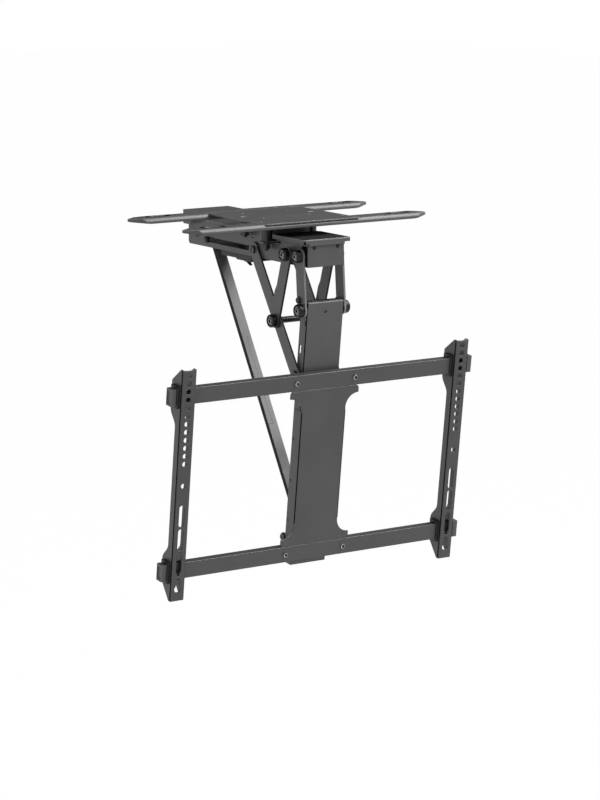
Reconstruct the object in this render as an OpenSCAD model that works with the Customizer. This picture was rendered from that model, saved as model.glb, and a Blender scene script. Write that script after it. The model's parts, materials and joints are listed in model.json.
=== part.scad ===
// Motorised ceiling mount for a television: ceiling rails, drive housing, folding links and TV frame.
// Millimetres. Origin at the middle of the ceiling face, +Z up, the screen faces -Y, +X along the rails.

/* [Ceiling rails and plate] */
// Length of a ceiling rail from tip to tip
rail_l = 528; // [440:1:700]
// Width of a ceiling rail
rail_w = 42; // [36:1:60]
// Distance of each rail's centre line from the middle
rail_y = 98.7; // [90:0.1:140]
// Sheet of the ceiling plate
ceiling_sheet = 3; // [2:0.1:4]
// Height of a ceiling rail
rail_h = 11; // [10:0.5:16]
// Rounding of a ceiling rail's shoulders
rail_r = 9.5; // [5:0.5:9.5]
// Wall of a ceiling rail
rail_t = 2.2; // [1.5:0.1:3]
// Sheet of the TV frame
sheet = 2.5; // [2:0.1:3]
// Distance of the ceiling slots from the middle
slot_x = 203; // [150:1:204]
// Length of a ceiling slot
slot_l = 28; // [20:1:32]
// Width of a ceiling slot
slot_w = 9; // [6:0.5:12]
// Width of the ceiling plate along the rails
plate_w = 204; // [180:1:300]

/* [Hangers] */
// Distance of the hanger bolts from the middle, front to back
hang_y = 37; // [30:1:40]
// Diameter of a hanger bolt
hang_d = 10; // [8:0.5:12]
// Height of a hanger nut
nut_h = 9; // [6:0.5:10]

/* [Drive housing] */
// Width of the housing over its side walls
house_w = 78.8; // [70:0.1:80]
// Wall of the housing
wall = 2; // [1.5:0.1:2.4]
// Front end of the housing
house_front = -160; // [-180:1:-158]
// Rear end of the housing
house_rear = 260; // [250:1:300]
// Underside of the housing
house_low = -79.5; // [-90:0.5:-79]
// Top of the housing
house_top = -29; // [-32:0.5:-26]
// Length of the front cover
cover_l = 105; // [100:1:110]

/* [Drive] */
// Diameter of the drive screw
screw_d = 10; // [8:0.5:12]
// Diameter of the motor
motor_d = 40; // [30:1:41]
// Length of the motor
motor_l = 56; // [40:1:58]
// Length of the carriage
carriage_l = 34; // [28:1:44]
// Travel of the carriage from up to stowed
travel = 150.55; // [140:0.01:160]

/* [Links] */
// Length of the drive bar from the carriage to the short link
drive_l = 147.5; // [146:0.1:149]
// Width of the links
link_w = 28; // [24:0.5:29]
// Sheet of the links
link_t = 4; // [3:0.1:4.4]
// Diameter of the pivot pins
pin_d = 10; // [8:0.5:12]
// Diameter of the round pivot caps
cap_d = 24; // [20:1:26]
// Diameter of the cross tube
tube_d = 12; // [10:0.5:16]

/* [Folding brace] */
// Width of both braces
brace_w = 20; // [14:0.5:24]
// Thickness of both braces
brace_t = 10; // [8:0.5:12]
// Length of the upper brace between its pins
upper_l = 314; // [310:1:318]
// Length of the half-width lap on either side of the elbow
lap_l = 90; // [90:1:110]
// Length of each brace's tongue beyond the elbow
tongue_l = 66; // [20:1:66]

/* [TV frame] */
// Lean of the screen from upright
tilt = 7; // [6:0.1:8]
// Depth of the spine
spine_d = 23.5; // [20:0.5:26]
// Length of a TV rail over its end caps
bar_l = 662; // [640:1:900]
// Height of a TV rail
bar_h = 30; // [26:0.5:32]
// Depth of a TV rail
bar_d = 15; // [12:0.5:16]
// Reach of the middle plate's wings beyond its waist
wing_reach = 27; // [20:1:32]

/* [TV brackets] */
// Length of a bracket
hook_l = 437.5; // [436:0.5:440]
// Width of a bracket's face
hook_w = 28; // [26:0.5:32]
// Depth of a bracket between its lobes
hook_d = 18; // [16:0.5:20]
// Depth of a bracket's lobes
lobe_d = 36; // [32:0.5:40]
// Diameter of a bracket's screw holes
hole_d = 9.5; // [6:0.5:10]
// Step from one screw hole to the next
hole_step = 15; // [13:0.5:16]

/* [Hidden] */
$fn = 48;
// Overrun of every cut
over = 1;
// Gap between sliding and turning faces of different pieces
run_gap = 0.3;
// Radial clearance of a pin in its bore
fit = 0.06;
// Edge rounding of sheet corners
soft = 3;

// Heights of the housing's front, of the strap gap and of the cover's lips
front_top = house_top - 1.5;
gap_low = -46;
gap_front = -56;
gap_rear = -28;
side_lip = -36.8;
front_lip = -40;
inner_x = house_w / 2 - wall;
floor_z = house_low + wall;

// Pivots on the housing: places front to back and heights
p1_y = -106;
p2_y = -141;
links_z = -60;
p1 = [p1_y, links_z];
p2 = [p2_y, links_z];
carriage_y = 16;
slide_z = -65;
k0 = [carriage_y, slide_z];
brace_y = 231;
brace_z = -58;
s0 = [brace_y, brace_z];
// Top of the TV brackets' face: its place and height
frame_y = -177.75;
frame_z = -240.45;
// Middle of the lower TV rail above the brackets' lower end, and of the brace's foot above that rail
bar_up = 53.5;
foot_up = 22;
t_down = 47.5;
t_in = -45.5;
q_down = -77;
q_in = -39;
r_down = hook_l - bar_up - foot_up;
r_in = -43.5;
function placed(v, n) =
    [frame_y + v * sin(tilt) - n * cos(tilt), frame_z - v * cos(tilt) - n * sin(tilt)];
t0 = placed(t_down, t_in);
q0 = placed(q_down, q_in);
r0 = placed(r_down, r_in);
j0 = k0 + (t0 - k0) * drive_l / norm(t0 - k0);
brace_dir = (r0 - s0) / norm(r0 - s0);
m0 = s0 + brace_dir * upper_l;
brace_angle = atan2(brace_dir[1], brace_dir[0]);

// Width of a link between its round ends, as a share of those ends
neck_share = 0.93;
// Layers of the links, as distances from the middle
side_gap = 0.8;
bar_side = house_w / 2 + 2 * side_gap;
bar_x = [bar_side, bar_side + link_t];
short_side = bar_x[1] + side_gap * 1.25;
short_x = [short_side, short_side + link_t];
cover_w = 2 * (short_x[1] + wall / 2);
spine_w = house_w - 1.75 * side_gap;
cap_t = 8.7;
head_t = 4;
screw_z = -56.5;
sub_d = 15.5;
sub_w = 50;
sub_front = 55;
sub_rear = 165;
sub_y = [sub_front, sub_rear];

// Values of the TV frame, measured down from its top and back from the screen's plane
face_in = -9;
spine_in = -27;
spine_top = -93.4;
bar_down = 52;
bar_gap = hook_l - bar_down - bar_up;
bar_v = [bar_down, bar_down + bar_gap];
spine_end = bar_v[1] + bar_h;
wing_t = 14;
wing_gap = 0.6;
wing_top = bar_v[0] + bar_h / 2 + wing_gap;
wing_low = bar_v[1] - bar_h / 2 - wing_gap;
flange_in = -35;
cap_l = 9.5;
waist_w = spine_w + 2 * (link_t + 2 * sheet + run_gap);
wing_w = waist_w + 2 * wing_reach;
hook_in = 31;
hook_x = bar_l / 2 - hook_in;
waist_top = wing_top + wing_t + wing_reach;
waist_low = wing_low - wing_t - wing_reach;

steel = [0.17, 0.17, 0.175];
steel_light = [0.25, 0.25, 0.26];
black = [0.05, 0.05, 0.052];
zinc = [0.55, 0.56, 0.57];

// A side profile drawn front to back and up, made solid between two distances across
module across(x) {
    translate([x[0], 0, 0]) rotate([90, 0, 90]) linear_extrude(x[1] - x[0]) children();
}
// The same on the left, for side -1, or on the right, for side 1
module sided(side, x) {
    if (side > 0) across(x) children();
    else across([-x[1], -x[0]]) children();
}
module disc(at, d) {
    translate(at) circle(d = d);
}
// A flat link between two pivots with round ends
module strap(a, b, w) {
    along = b - a;
    disc(a, w);
    disc(b, w);
    neck = w * neck_share;
    translate(a) rotate(atan2(along[1], along[0])) translate([0, -neck / 2]) square([norm(along), neck]);
}
// The wider lower half of the short link, on its rear edge
module swell(a, b, w) {
    along = b - a;
    l = norm(along);
    side = w / 2;
    translate(a) rotate(atan2(along[1], along[0])) polygon([
        [l * 0.5, 0], [l * 0.5, side * neck_share], [l * 0.6, side * 1.18], [l * 0.8, side * 1.12],
        [l, side * 0.98], [l, 0]
    ]);
}
// A block from its lowest to its highest corner
module block(lo, hi) {
    translate(lo) cube(hi - lo);
}
module round_rect(size, r) {
    translate([-size[0] / 2 + r, -size[1] / 2]) square([size[0] - 2 * r, size[1]]);
    translate([-size[0] / 2, -size[1] / 2 + r]) square([size[0], size[1] - 2 * r]);
    for (x = [-1, 1], y = [-1, 1]) translate([x * (size[0] / 2 - r), y * (size[1] / 2 - r)]) circle(r = r);
}
module slot2d(l, w) {
    translate([-(l - w) / 2, -w / 2]) square([l - w, w]);
    for (x = [-1, 1]) translate([x * (l - w) / 2, 0]) circle(d = w);
}
// The TV frame's own axes: x across, y back from the screen, z up
module on_frame() {
    translate([0, frame_y, frame_z]) rotate([tilt, 0, 0]) children();
}
// A block in the TV frame: across, in from the screen's plane, down from the top
module slab(x, n, v) {
    block([x[0], -n[1], -v[1]], [x[1], -n[0], -v[0]]);
}
// A face profile of the TV frame, drawn across and up, made solid between two depths
module faced(n) {
    translate([0, -n[0], 0]) rotate([90, 0, 0]) linear_extrude(n[1] - n[0]) children();
}
module hex_nut(d, h) {
    cylinder(d = d, h = h, $fn = 6);
}

// Ceiling side
// A rail-shaped solid: rounded shoulders, pointed ends and a ramp down to each point
rail_ramp = 36;
rail_drop = rail_h * 0.2;
rail_lift = rail_h * 0.65;
module rail_outline(l, w) {
    taper = rail_w * 0.64;
    half = l / 2;
    side = w / 2;
    tip = w * 0.12;
    polygon([
        [-half + taper, -side], [half - taper, -side], [half, -tip], [half, tip],
        [half - taper, side], [-half + taper, side], [-half, tip], [-half, -tip]
    ]);
}
module rail_solid(l, w, h, r) {
    half = l / 2;
    intersection() {
        across([-half, half]) {
            translate([-w / 2, -h]) square([w, h - r]);
            translate([-w / 2 + r, -h]) square([w - 2 * r, h]);
            for (side = [-1, 1]) translate([side * (w / 2 - r), -r]) circle(r = r);
        }
        translate([0, 0, -h]) linear_extrude(h) rail_outline(l, w);
        translate([0, w / 2, 0]) rotate([90, 0, 0]) linear_extrude(w) polygon([
            [-half, -rail_lift], [-half + rail_ramp, -h], [half - rail_ramp, -h], [half, -rail_lift],
            [half, -rail_drop], [half - rail_ramp, 0], [-half + rail_ramp, 0], [-half, -rail_drop]
        ]);
    }
}
module ceiling_rail(side) {
    room = plate_w / 2 + run_gap;
    color(steel) difference() {
        translate([0, side * rail_y, 0]) difference() {
            rail_solid(rail_l, rail_w, rail_h, rail_r);
            difference() {
                translate([0, 0, -rail_t])
                    rail_solid(rail_l - 2 * rail_t, rail_w - 2 * rail_t, rail_h, rail_r - rail_t);
                block([-room - rail_t, -rail_w, -ceiling_sheet - rail_t], [room + rail_t, rail_w, over]);
            }
            for (x = [-1, 1]) translate([x * slot_x, 0, -rail_h]) linear_extrude(rail_h + over) slot2d(slot_l, slot_w);
            for (x = [-1, 1]) translate([x * tie_x(), -side * tie_in(), -rail_h]) cylinder(d = tie_d(), h = rail_h + over);
        }
        block([-room, -plate_front - over, -ceiling_sheet], [room, plate_rear + run_gap, over]);
    }
}
function tie_x() = plate_w / 2 - tie_d() * 2.2;
function tie_in() = rail_w * 0.3;
function tie_d() = slot_w * 2 / 3;
plate_front = rail_y + rail_w / 2;
plate_rear = rail_y - tie_in() + tie_d() * 0.75;
module ceiling_plate() {
    color(steel) translate([0, 0, -ceiling_sheet]) {
        linear_extrude(ceiling_sheet) difference() {
            translate([0, (plate_rear - plate_front) / 2]) round_rect([plate_w, plate_front + plate_rear], soft);
            for (x = [-1, 1]) translate([x * plate_w * 0.37, 0]) slot2d(slot_w * 1.6, slot_w * 0.7);
            for (x = [-1, 1], y = [-1, 1]) translate([x * hang_x, y * hang_y]) circle(d = hang_d + 2 * fit);
            for (x = [-1, 1], y = [-1, 1]) translate([x * tie_x(), y * (rail_y - tie_in())]) circle(d = tie_d());
        }
    }
}
module rail_bolts() {
    color(black) for (x = [-1, 1], y = [-1, 1]) translate([x * tie_x(), y * (rail_y - tie_in()), 0]) {
        low = -ceiling_sheet - rail_t;
        translate([0, 0, low]) cylinder(d = tie_d() - 2 * fit, h = -low - run_gap);
        translate([0, 0, low - head_t]) cylinder(d = tie_d() * 1.5, h = head_t);
    }
}
strap_t = 3;
strap_w = 17;
washer_t = 1.6;
sleeve_d = hang_d * 1.85;
flare_d = hang_d * 2.8;
hang_x = house_w / 2 + hang_d * 1.12;
function strap_z(y) = y < 0 ? gap_low : house_top;
module ceiling_spacer() {
    low = house_top + strap_t + run_gap;
    color(black) translate([0, 0, low]) linear_extrude(-ceiling_sheet - low)
        round_rect([2 * hang_x - flare_d - 2 * run_gap, 2 * hang_y + 2 * hang_d], soft);
}
module hanger_bolts() {
    color(zinc) for (x = [-1, 1], y = [-1, 1]) translate([x * hang_x, y * hang_y, 0]) {
        low = strap_z(y) - washer_t - nut_h - hang_d * 0.35;
        translate([0, 0, low]) cylinder(d = hang_d, h = -low - run_gap);
    }
}
module hanger_nuts() {
    color(steel) for (x = [-1, 1], y = [-1, 1]) translate([x * hang_x, y * hang_y, 0]) difference() {
        union() {
            translate([0, 0, strap_z(y) - washer_t]) cylinder(d = hang_d * 2.2, h = washer_t);
            translate([0, 0, strap_z(y) - washer_t - nut_h]) hex_nut(hang_d * 1.85, nut_h);
            translate([0, 0, strap_z(y) + strap_t]) cylinder(d = sleeve_d, h = -ceiling_sheet - strap_z(y) - strap_t);
            translate([0, 0, -ceiling_sheet - 2 * washer_t]) cylinder(d = flare_d, h = 2 * washer_t);
        }
        translate([0, 0, strap_z(y) - washer_t - nut_h - over])
            cylinder(d = hang_d + 2 * fit, h = washer_t + nut_h + 2 * over - strap_z(y));
    }
}
module hanger_strap(side) {
    reach = hang_x + hang_d * 1.2;
    color(steel) translate([0, side * hang_y, strap_z(side)]) difference() {
        linear_extrude(strap_t) round_rect([2 * reach, strap_w], soft);
        for (x = [-1, 1]) translate([x * hang_x, 0, -over]) cylinder(d = hang_d + 2 * fit, h = strap_t + 2 * over);
    }
}

// Drive housing
module housing_side() {
    r = soft * 2;
    difference() {
        union() {
            translate([house_front, house_low]) square([gap_front - house_front, front_top - house_low]);
            translate([gap_front - over, house_low])
                square([gap_rear - gap_front + 2 * over, gap_low - house_low]);
            translate([gap_rear, house_low]) square([house_rear - gap_rear - r, house_top - house_low]);
            translate([gap_rear, house_low + r]) square([house_rear - gap_rear, house_top - house_low - 2 * r]);
            for (z = [house_low + r, house_top - r]) disc([house_rear - r, z], 2 * r);
        }
        translate([k0[0], k0[1]]) translate([0, -pin_d / 2]) square([slot_end() - k0[0], pin_d]);
        disc(k0, pin_d);
        disc([slot_end(), k0[1]], pin_d);
        translate([gap_rear + strap_t * 18, gap_low + strap_t]) slot2d(pin_d * 0.9, pin_d * 0.3);
        translate([gap_front - strap_t * 3, gap_low + strap_t]) slot2d(pin_d * 1.2, pin_d * 0.3);
        disc(s0, pin_d + 2 * fit);
        disc(p1, pin_d + 2 * fit);
        disc(p2, pin_d * 0.6);
    }
}
function slot_end() = k0[0] + travel + pin_d * 2;
brace_room = brace_w / 2 + over;
module housing_shell() {
    color(steel) difference() {
        union() {
            for (side = [-1, 1]) sided(side, [inner_x, house_w / 2]) housing_side();
            block([-inner_x, house_front, house_low], [inner_x, house_rear - soft * 2, floor_z]);
            block([-inner_x, gap_rear, house_top - wall], [inner_x, house_rear - soft * 2, house_top]);
            block([-inner_x, house_rear - wall, house_low + soft * 2], [inner_x, house_rear, house_top - soft * 2]);
        }
        block([-brace_room, s0[0] - brace_t * 2.1, house_low - over], [brace_room, house_rear + over, s0[1] + over]);
        translate([inner_x / 2, house_rear - wall - over, house_top - inlet_drop]) rotate([-90, 0, 0])
            cylinder(d = inlet_d + 2 * fit, h = wall + 2 * over);
    }
}
inlet_d = 11;
inlet_drop = 13;
module front_wall() {
    color(steel) difference() {
        union() {
            block([-house_w / 2, house_front - wall, house_low], [house_w / 2, house_front, front_top]);
            for (x = [-1, 1]) translate([x * (inner_x - wall / 2), 0, 0])
                block([-wall / 2, house_front, floor_z], [wall / 2, house_front + soft * 4, gap_low]);
        }
        for (x = [-1, 1]) translate([x * cover_screw_x(), house_front - wall - over, cover_screw_z()])
            rotate([-90, 0, 0]) cylinder(d = cover_screw_d(), h = wall + 2 * over);
    }
}
cover_front = house_front - wall * 2.5;
cover_rear = cover_front + cover_l;
module front_cover() {
    half = cover_w / 2;
    color(steel) difference() {
        union() {
            block([-half, cover_front, front_top], [half, cover_rear, front_top + sheet]);
            block([-half, cover_front, side_lip + over], [-half + wall, cover_rear, front_top]);
            block([half - wall, cover_front, side_lip + over], [half, cover_rear, front_top]);
            block([-half, cover_front, side_lip + over], [half, cover_front + wall, front_top]);
            block([-house_w / 2, cover_front, front_lip], [house_w / 2, cover_front + wall, front_top]);
        }
        translate([half - soft, cover_rear - soft * 2, side_lip - over]) cube([soft + over, soft * 3, sheet * 9]);
    }
}
function cover_screw_x() = cover_w / 4;
function cover_screw_z() = front_lip - cover_screw_d() * 0.8 - 2 * run_gap;
function cover_screw_d() = 4;
module cover_screws() {
    color(black) for (x = [-1, 1]) translate([x * cover_screw_x(), 0, cover_screw_z()]) {
        translate([0, house_front - wall, 0]) rotate([-90, 0, 0]) cylinder(d = cover_screw_d() - 2 * fit, h = wall * 2);
        translate([0, house_front - wall * 1.6, 0]) rotate([-90, 0, 0])
            cylinder(d = cover_screw_d() * 1.6, h = wall * 0.6);
    }
}
module cable_tray() {
    low = house_low - sub_d;
    half = sub_w / 2;
    middle = (sub_y[0] + sub_y[1]) / 2;
    color(black) {
        difference() {
            union() {
                block([-half, sub_y[0], low], [half, middle - wall, house_low]);
                block([-half + wall, middle + wall, low + wall], [half - wall, sub_y[1], house_low]);
            }
            block([-half + wall, sub_y[0] - over, low + wall], [half - wall, middle - 2 * wall, house_low - wall]);
            block([-half + 2 * wall, middle + 2 * wall, low + 2 * wall], [half - 2 * wall, sub_y[1] + over, house_low - wall]);
        }
        block([-half * 0.3, middle - wall, low], [half * 0.3, middle + wall, house_low]);
        block([-half * 0.3, middle - 3 * wall, low - 3 * wall], [half * 0.3, middle - 2 * wall, low]);
    }
}

// Drive
gear_front = -92;
gear_rear = -60;
gear_y = [gear_front, gear_rear];
gear_w = 48;
module motor() {
    color(black) difference() {
        translate([0, gear_y[0] - motor_l, screw_z]) rotate([-90, 0, 0]) cylinder(d = motor_d, h = motor_l);
        for (a = [0:60:300]) translate([0, gear_y[0] - motor_l - over, screw_z]) rotate([-90, a, 0])
            translate([motor_d * 0.35, 0, 0]) cylinder(d = motor_d * 0.08, h = motor_l / 4);
    }
}
module gearbox() {
    color(steel_light) difference() {
        block([-gear_w / 2, gear_y[0], floor_z], [gear_w / 2, gear_y[1], screw_z + motor_d / 2]);
        translate([0, gear_y[1] - screw_d, screw_z]) rotate([-90, 0, 0])
            cylinder(d = screw_d + 2 * fit, h = screw_d + over);
    }
}
bearing_l = 10;
bearing_y = [gap_front + run_gap, k0[0] + travel + carriage_l / 2 + bearing_l];
screw_end = bearing_y[1] + bearing_l - run_gap;
module screw_bearings() {
    color(steel_light) for (y = bearing_y) difference() {
        union() {
            block([-screw_d * 1.8, y, floor_z], [screw_d * 1.8, y + bearing_l, screw_z + screw_d * 0.9]);
            if (y > 0) block([-inner_x, y, floor_z], [inner_x, y + wall, house_top - wall]);
        }
        translate([0, y - over, screw_z]) rotate([-90, 0, 0])
            cylinder(d = screw_d + 2 * fit, h = bearing_l + 2 * over);
    }
}
module drive_screw() {
    start = gear_y[1] - screw_d + run_gap;
    color(zinc) translate([0, start, screw_z]) rotate([-90, 0, 0]) cylinder(d = screw_d, h = screw_end - start);
}
carriage_w = 2 * (inner_x - run_gap);
carriage_z = [floor_z + run_gap, screw_z + screw_d];
module carriage() {
    y = k0[0] - carriage_l / 2;
    color(black) difference() {
        union() {
            block([-carriage_w / 2, y, k0[1] - pin_d], [carriage_w / 2, y + carriage_l, k0[1] + pin_d]);
            block([-screw_d * 1.6, y, carriage_z[0]], [screw_d * 1.6, y + carriage_l, carriage_z[1]]);
        }
        translate([0, y - over, screw_z]) rotate([-90, 0, 0])
            cylinder(d = screw_d + 2 * fit, h = carriage_l + 2 * over);
        for (side = [-1, 1]) sided(side, [screw_d, house_w]) disc(k0, stub_d());
    }
}
function stub_d() = pin_d - 2 * run_gap;
module carriage_pin() {
    color(zinc) for (side = [-1, 1]) sided(side, [screw_d, bar_x[0] - run_gap]) disc(k0, stub_d());
}
module limit_switches() {
    color(black) for (y = [k0[0] - carriage_l, slot_end() - screw_d / 2])
        block([inner_x - wall * 4, y - wall * 3, house_top - wall * 8], [inner_x, y + wall * 3, house_top - wall * 2]);
}
board_drop = 2.4;
board_t = 1.6;
module control_board() {
    y = [sub_y[0], sub_y[1] - soft];
    top = house_top - wall - board_drop;
    color([0.08, 0.22, 0.12]) {
        block([-inner_x * 0.75, y[0], top - board_t], [inner_x * 0.6, y[1], top]);
        for (x = [-0.6, 0.5], f = [0.1, 0.9]) translate([x * inner_x, y[0] + (y[1] - y[0]) * f, top])
            cylinder(d = hole_d * 0.7, h = board_drop);
        for (f = [0.3, 0.55]) translate([0, y[0] + (y[1] - y[0]) * f, top - board_t * 4])
            cylinder(d = hole_d, h = board_t * 3);
    }
}
module power_inlet() {
    color(black) translate([inner_x / 2, house_rear + wall / 2, house_top - inlet_drop]) rotate([90, 0, 0]) difference() {
        union() {
            cylinder(d = inlet_d, h = inlet_d * 1.4);
            cylinder(d = inlet_d * 1.3, h = wall / 2);
        }
        translate([0, 0, -over]) cylinder(d = inlet_d * 0.55, h = inlet_d);
    }
}

// Pivots on the housing
module short_link_pins() {
    color(black) for (side = [-1, 1]) {
        sided(side, [inner_x - head_t, short_x[1] + run_gap]) disc(p1, pin_d);
        sided(side, [inner_x - head_t, inner_x]) disc(p1, pin_d * 1.6);
        sided(side, [house_w / 2, short_x[0] - run_gap]) disc(p1, pin_d * 1.5);
        sided(side, [short_x[1] + run_gap, short_x[1] + run_gap + cap_t]) disc(p1, cap_d);
    }
}
module brace_top_pin() {
    half = house_w / 2;
    color(zinc) {
        across([-half, half]) disc(s0, pin_d);
        for (side = [-1, 1]) {
            sided(side, [brace_w / 2 + run_gap, inner_x]) disc(s0, pin_d * 1.6);
            sided(side, [half, half + wall * 0.8]) disc(s0, pin_d * 1.4);
        }
    }
}

// Links
module short_link(side) {
    color(steel) sided(side, short_x) difference() {
        union() {
            strap(p1, j0, link_w);
            swell(p1, j0, link_w);
        }
        disc(p1, pin_d + 2 * fit);
        disc(j0, pin_d + 2 * fit);
    }
}
module drive_bar(side) {
    color(steel) sided(side, bar_x) difference() {
        strap(k0, t0, link_w);
        disc(k0, pin_d);
        disc(j0, pin_d);
        disc(t0, pin_d + 2 * fit);
    }
}
module cross_tube() {
    color([0.7, 0.7, 0.7]) across([-bar_x[0], bar_x[0]]) difference() {
        disc(j0, tube_d);
        disc(j0, tube_d / 2);
    }
}
module drive_bar_pins() {
    color(black) for (side = [-1, 1]) {
        sided(side, [bar_x[0], short_x[1] + run_gap]) disc(j0, pin_d);
        sided(side, [bar_x[1], short_x[0] - run_gap]) disc(j0, pin_d * 1.5);
        sided(side, [short_x[1] + run_gap, short_x[1] + run_gap + cap_t]) disc(j0, cap_d);
        sided(side, [bar_x[0], bar_x[1]]) disc(k0, pin_d);
        sided(side, [bar_x[1], bar_x[1] + head_t]) disc(k0, pin_d * 1.5);
    }
}
module swing_link(side) {
    color(steel) sided(side, bar_x) difference() {
        strap(p2, q0, link_w);
        disc(p2, pin_d);
        disc(q0, pin_d + 2 * fit);
    }
}
module swing_link_caps() {
    color(black) for (side = [-1, 1]) {
        sided(side, [bar_x[0], bar_x[1]]) disc(p2, pin_d);
        if (side < 0) sided(side, [bar_x[1], bar_x[1] + cap_t]) disc(p2, cap_d);
        else sided(side, [bar_x[1], bar_x[1] + head_t / 2]) disc(p2, pin_d * 1.7);
    }
}

// Folding brace
module along_brace(at) {
    translate([0, at[0], at[1]]) rotate([brace_angle, 0, 0]) children();
}
// One half-width layer of a brace, left for side -1 and right for side 1
function half_layer(side) = side < 0 ? [-brace_w / 2, -run_gap / 2] : [run_gap / 2, brace_w / 2];
module brace_bar(x, from, to) {
    block([x[0], from, -brace_t / 2], [x[1], to, brace_t / 2]);
}
module upper_brace() {
    color(steel) difference() {
        union() {
            along_brace(s0) {
                brace_bar([-brace_w / 2, brace_w / 2], 0, upper_l - lap_l);
                brace_bar(half_layer(-1), upper_l - lap_l, upper_l + tongue_l);
            }
            across([-brace_w / 2, brace_w / 2]) disc(s0, pin_d * 1.8);
        }
        across([-house_w, house_w]) disc(s0, pin_d + 2 * fit);
        across([-house_w, 0]) disc(m0, elbow_d());
    }
}
function elbow_d() = brace_t * 0.6;
lower_l = norm(r0 - s0) - upper_l;
module elbow_half(side) {
    x = half_layer(side);
    across(x) disc(m0, elbow_d());
    sided(side, [brace_w / 2, brace_w / 2 + wall]) disc(m0, brace_t * 0.9);
}
module elbow_pin() {
    color(black) elbow_half(-1);
}
module elbow_heads() {
    color(black) elbow_half(1);
}
module lower_brace() {
    color(steel) difference() {
        union() {
            along_brace(m0) {
                brace_bar([-brace_w / 2, brace_w / 2], lap_l, lower_l);
                brace_bar(half_layer(1), -tongue_l, lap_l);
            }
            across([-brace_w / 2, brace_w / 2]) disc(r0, pin_d * 1.8);
        }
        across([-house_w, house_w]) disc(r0, pin_d + 2 * fit);
        across([0, house_w]) disc(m0, elbow_d());
    }
}

// TV frame
spine_half = spine_w / 2;
spine_in_half = spine_half - sheet;
peep_down = 18;
slit_down = -10;
slit_l = 16;
module spine() {
    color(steel) difference() {
        union() {
            on_frame() {
                slab([-spine_half, spine_half], [spine_in - sheet, spine_in], [spine_top, spine_end]);
                for (side = [-1, 1]) translate([side * (spine_half + spine_in_half) / 2, 0, 0])
                    slab([-sheet / 2, sheet / 2], [spine_in - spine_d, spine_in], [spine_top, spine_end]);
            }
            for (side = [-1, 1]) sided(side, [spine_in_half, spine_half]) disc(t0, pin_d * 2.2);
        }
        for (at = [q0, t0, r0]) across([-house_w, house_w]) disc(at, pin_d);
        on_frame() {
            translate([0, 0, -spine_top - peep_down]) rotate([-90, 0, 0]) cylinder(d = hole_d * 0.5, h = house_w);
            slab([-house_w, house_w], [spine_in - spine_d * 0.88, spine_in - spine_d * 0.6],
                [slit_down, slit_down + slit_l]);
        }
    }
}
module spine_pins() {
    color(black) for (side = [-1, 1]) {
        for (at = [q0, t0]) {
            sided(side, [spine_in_half - head_t, bar_x[1] + run_gap]) disc(at, pin_d);
            sided(side, [spine_half, bar_x[0] - run_gap]) disc(at, pin_d * 1.5);
            sided(side, [spine_in_half - head_t, spine_in_half]) disc(at, pin_d * 1.5);
        }
        sided(side, [bar_x[1] + run_gap, bar_x[1] + run_gap + cap_t]) disc(q0, cap_d);
        sided(side, [bar_x[1] + run_gap, bar_x[1] + run_gap + head_t]) disc(t0, pin_d * 1.7);
    }
}
module stop_bolt() {
    at = placed(q_down + 2.4 * pin_d, q_in + head_t);
    color(black) for (side = [-1, 1]) sided(side, [spine_half, spine_half + wall * 0.9]) disc(at, pin_d * 0.8);
}
module brace_foot_pin() {
    color(zinc) {
        across([-waist_w / 2, waist_w / 2]) disc(r0, pin_d);
        for (side = [-1, 1]) {
            sided(side, [brace_w / 2 + run_gap, spine_in_half]) disc(r0, pin_d * 1.5);
            sided(side, [spine_half, waist_w / 2 - sheet]) disc(r0, pin_d * 1.3);
            sided(side, [waist_w / 2, waist_w / 2 + sheet]) disc(r0, pin_d * 1.25);
        }
    }
}
module middle_outline() {
    wing = wing_w / 2;
    waist = waist_w / 2;
    r = wing - waist;
    difference() {
        translate([0, -(wing_top + wing_low) / 2]) round_rect([wing_w, wing_low - wing_top], soft * 2);
        for (side = [-1, 1]) {
            for (v = [waist_top, waist_low]) translate([side * wing, -v]) circle(r = r);
            translate([side * wing - (side > 0 ? r : over), -waist_low]) square([r + over, waist_low - waist_top]);
        }
    }
}
// Side flange of the middle plate with its ear, drawn in the TV frame's side view
module flange_side() {
    difference() {
        union() {
            translate([sheet - face_in, -wing_low]) square([face_in - sheet - flange_in, wing_low - waist_top]);
            translate([-flange_in - soft, -r_down - ear_half]) square([flange_in - r_in + soft, 2 * ear_half]);
            disc([-r_in, -r_down], 2 * ear_half);
        }
        disc([-r_in, -r_down], pin_d);
    }
}
ear_half = 8.5;
module middle_plate() {
    color(steel) on_frame() {
        faced([face_in - sheet, face_in]) middle_outline();
        for (side = [-1, 1]) sided(side, [waist_w / 2 - sheet, waist_w / 2]) flange_side();
    }
}
module plate_ties() {
    color(black) on_frame() for (side = [-1, 1], v = [waist_top + wing_t, waist_low - 3 * wing_t]) {
        x = [spine_half, waist_w / 2 - sheet];
        slab(side > 0 ? x : [-x[1], -x[0]], [flange_in, flange_in + sheet * 2], [v, v + wing_t]);
    }
}
bar_in = face_in - bar_d;
module bar_spacers() {
    color(black) on_frame() for (v = bar_v) slab([-spine_half, spine_half], [spine_in, bar_in], [v - bar_h * 0.4, v + bar_h * 0.4]);
}
bar_screw_x = 64;
screw_head = 9;
module tv_bar(v) {
    half = bar_l / 2 - cap_l;
    color(steel) on_frame() difference() {
        slab([-half, half], [bar_in, face_in], [v - bar_h / 2, v + bar_h / 2]);
        slab([-bar_l, bar_l], [bar_in + sheet, face_in - sheet], [v - bar_h / 2 + sheet, v + bar_h / 2 - sheet]);
        for (x = [-1, 1]) translate([x * bar_screw_x, -face_in - over, -v]) rotate([-90, 0, 0])
            cylinder(d = screw_head / 2, h = sheet + over * 2);
    }
}
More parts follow.
